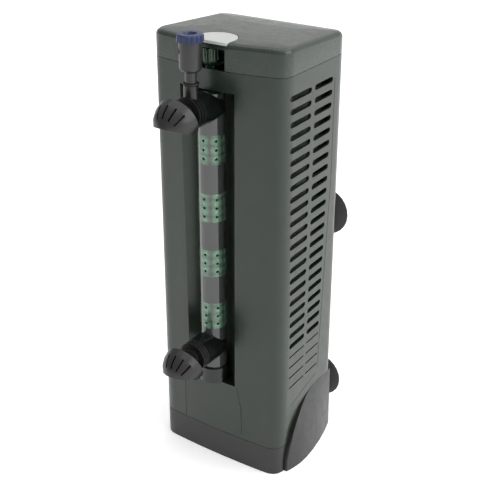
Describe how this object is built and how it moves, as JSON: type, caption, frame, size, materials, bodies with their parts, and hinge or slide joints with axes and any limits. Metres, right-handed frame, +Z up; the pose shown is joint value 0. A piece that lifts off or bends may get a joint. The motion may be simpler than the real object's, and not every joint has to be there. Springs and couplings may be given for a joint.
{
  "type": "canister filter",
  "caption": "Submersible aquarium filter: smoked box on a motor base with a spray column, swivelling duckbill outlets, air valve, flow grip, side intake grilles and suction-cup bracket.",
  "frame": {"origin": "centre of the bounding box at the underside of the motor base", "axes": "+Z up, the duckbill outlets face -Y, the intake grilles are on -X and +X, the suction cups face +Y"},
  "size_m": [0.1146, 0.1488, 0.3218],
  "materials": {
    "smoked_shell": "smoked translucent green-grey, polished",
    "smoked_lid": "smoked translucent green-grey, polished",
    "plate_white": "light satin",
    "dark_green": "dark green, satin",
    "clear_tube": "clear smoked",
    "charcoal": "satin",
    "black": "satin",
    "grey": "satin",
    "base_grey": "satin",
    "knob_blue": "satin",
    "rubber": "matt",
    "foam": "open-cell foam",
    "ceramic": "unglazed",
    "magnet": "ferrite, sealed",
    "steel": "stainless"
  },
  "bodies": {
    "casing": {"body_shell": "smoked_shell", "base_housing": "base_grey", "base_cheek_left": "base_grey", "base_cheek_right": "base_grey", "base_gasket": "rubber", "base_screw_1": "steel", "base_screw_2": "steel", "base_screw_3": "steel", "base_screw_4": "steel", "cable_gland": "rubber", "lid_hinge_rod": "steel", "spray_tube": "clear_tube", "tube_foot": "black", "upper_socket": "black", "lower_socket": "black", "upper_collar": "charcoal", "lower_collar": "charcoal", "upper_seal": "rubber", "lower_seal": "rubber", "venturi_ring": "rubber", "venturi_barrel": "grey", "motor_housing": "black", "shaft_bush_lower": "rubber", "shaft_bush_upper": "rubber", "pump_shaft": "ceramic", "impeller_cover": "black", "cartridge_frame": "charcoal", "foam_pad_left": "foam", "foam_pad_right": "foam", "ceramic_media": "ceramic"},
    "lid": {"lid": "smoked_lid", "lid_plate": "plate_white"},
    "diverter": {"flow_grip": "dark_green", "diverter_tube": "dark_green"},
    "upper_ball": {"upper_ball_joint": "charcoal"},
    "upper_outlet": {"upper_nozzle": "charcoal"},
    "lower_ball": {"lower_ball_joint": "charcoal"},
    "lower_outlet": {"lower_nozzle": "charcoal"},
    "air_knob": {"venturi_knob": "knob_blue"},
    "rotor": {"rotor_magnet": "magnet", "impeller": "grey"},
    "bracket": {"bracket_plate": "charcoal", "suction_cup_upper_left": "rubber", "suction_cup_upper_right": "rubber", "suction_cup_lower_left": "rubber", "suction_cup_lower_right": "rubber"}
  },
  "joints": [
    {"name": "lid_open", "type": "hinge", "parent": "casing", "child": "lid", "pos_m": [0, 0.06074, 0.2984], "axis": [-1, 0, 0], "range_deg": [0, 100]},
    {"name": "flow_grip_turn", "type": "hinge", "parent": "casing", "child": "diverter", "pos_m": [-0.0045, -0.02266, 0.3], "axis": [0, 0, 1], "range_deg": [-60, 60]},
    {"name": "upper_outlet_swivel", "type": "hinge", "parent": "casing", "child": "upper_ball", "pos_m": [-0.0045, -0.05556, 0.272], "axis": [0, -1, 0], "range_deg": [-180, 180]},
    {"name": "upper_outlet_tilt", "type": "hinge", "parent": "upper_ball", "child": "upper_outlet", "pos_m": [-0.0045, -0.05556, 0.272], "axis": [1, 0, 0], "range_deg": [-32, 5]},
    {"name": "lower_outlet_swivel", "type": "hinge", "parent": "casing", "child": "lower_ball", "pos_m": [-0.0045, -0.05556, 0.0952], "axis": [0, -1, 0], "range_deg": [-180, 180]},
    {"name": "lower_outlet_tilt", "type": "hinge", "parent": "lower_ball", "child": "lower_outlet", "pos_m": [-0.0045, -0.05556, 0.0952], "axis": [1, 0, 0], "range_deg": [-40, 4]},
    {"name": "air_knob_turn", "type": "hinge", "parent": "casing", "child": "air_knob", "pos_m": [-0.0045, -0.04336, 0.32], "axis": [0, 0, 1], "range_deg": [-135, 135]},
    {"name": "impeller_spin", "type": "hinge", "parent": "casing", "child": "rotor", "pos_m": [-0.0045, 0.01734, 0.025], "axis": [0, 0, 1], "continuous": true},
    {"name": "bracket_slide", "type": "slide", "parent": "casing", "child": "bracket", "axis": [0, 0, -1], "range_m": [0, 0.04]}
  ]
}
